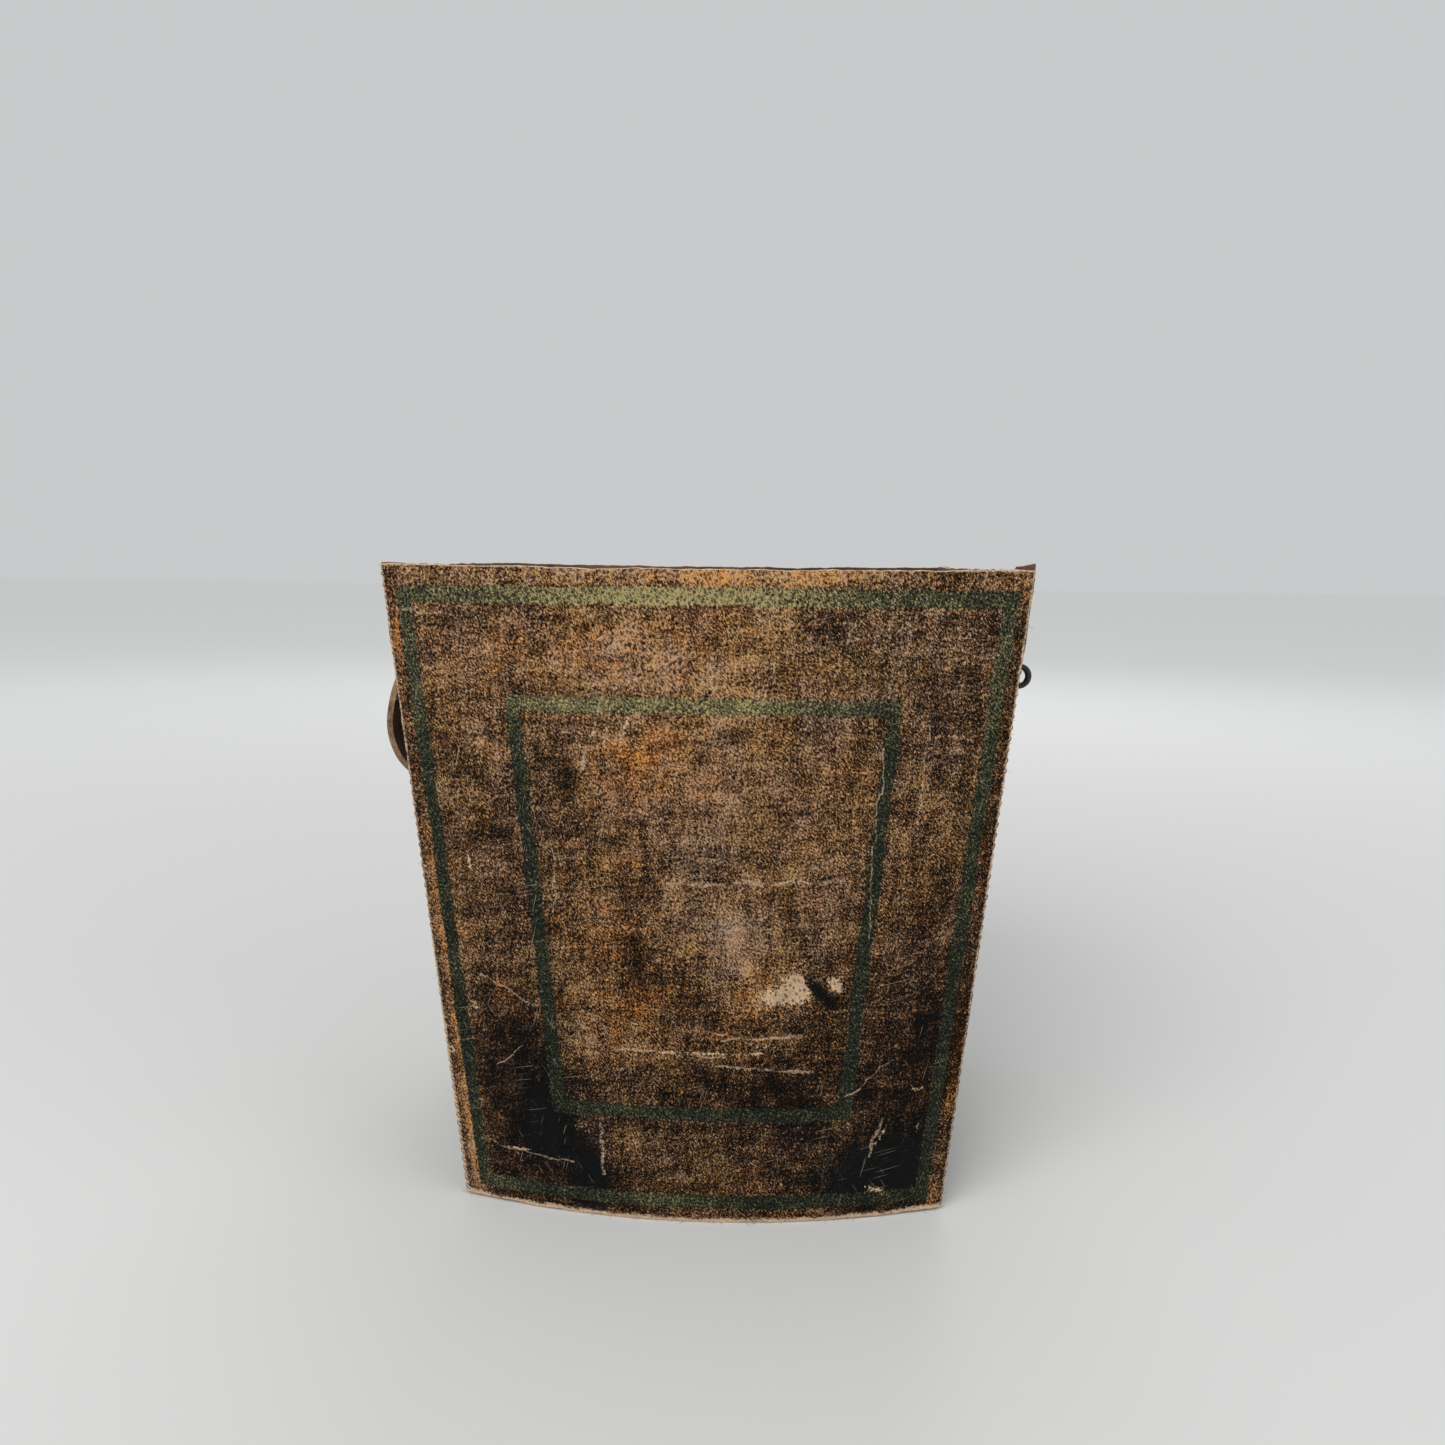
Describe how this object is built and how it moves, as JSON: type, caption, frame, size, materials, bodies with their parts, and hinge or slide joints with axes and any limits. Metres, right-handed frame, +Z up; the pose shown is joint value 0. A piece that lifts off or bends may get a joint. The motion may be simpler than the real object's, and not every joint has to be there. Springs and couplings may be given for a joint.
{
  "type": "wastepaper basket",
  "caption": "Tapered rectangular leather wastepaper basket with bowed walls, overcast corner seams and a swinging strap handle on lace loops at one side.",
  "frame": {"origin": "on the floor under the middle of the basket", "axes": "+Z up; the front faces -Y; the strap handle hangs on the -X side"},
  "size_m": [0.2903, 0.231, 0.3013],
  "materials": {
    "wall_leather": "worn matte grain with coloured tooled borders",
    "side_leather": "worn matte grain",
    "base_leather": "matte",
    "base_board": "matte",
    "seam_thread": "waxed thread",
    "strap_leather": "worn satin",
    "lace": "waxed"
  },
  "bodies": {
    "basket": {"front_panel": "wall_leather", "rear_panel": "wall_leather", "left_panel": "side_leather", "right_panel": "side_leather", "base_panel": "base_leather", "base_board": "base_board", "seam_thread_front_left": "seam_thread", "seam_thread_front_right": "seam_thread", "seam_thread_rear_left": "seam_thread", "seam_thread_rear_right": "seam_thread", "lace_left_front": "lace", "lace_left_rear": "lace", "lace_right_front": "lace", "lace_right_rear": "lace"},
    "handle": {"handle_strap": "strap_leather"}
  },
  "joints": [
    {"name": "handle_swing", "type": "hinge", "parent": "basket", "child": "handle", "pos_m": [-0.1371, 0, 0.2539], "axis": [0, 1, 0], "range_deg": [0, 125]}
  ]
}
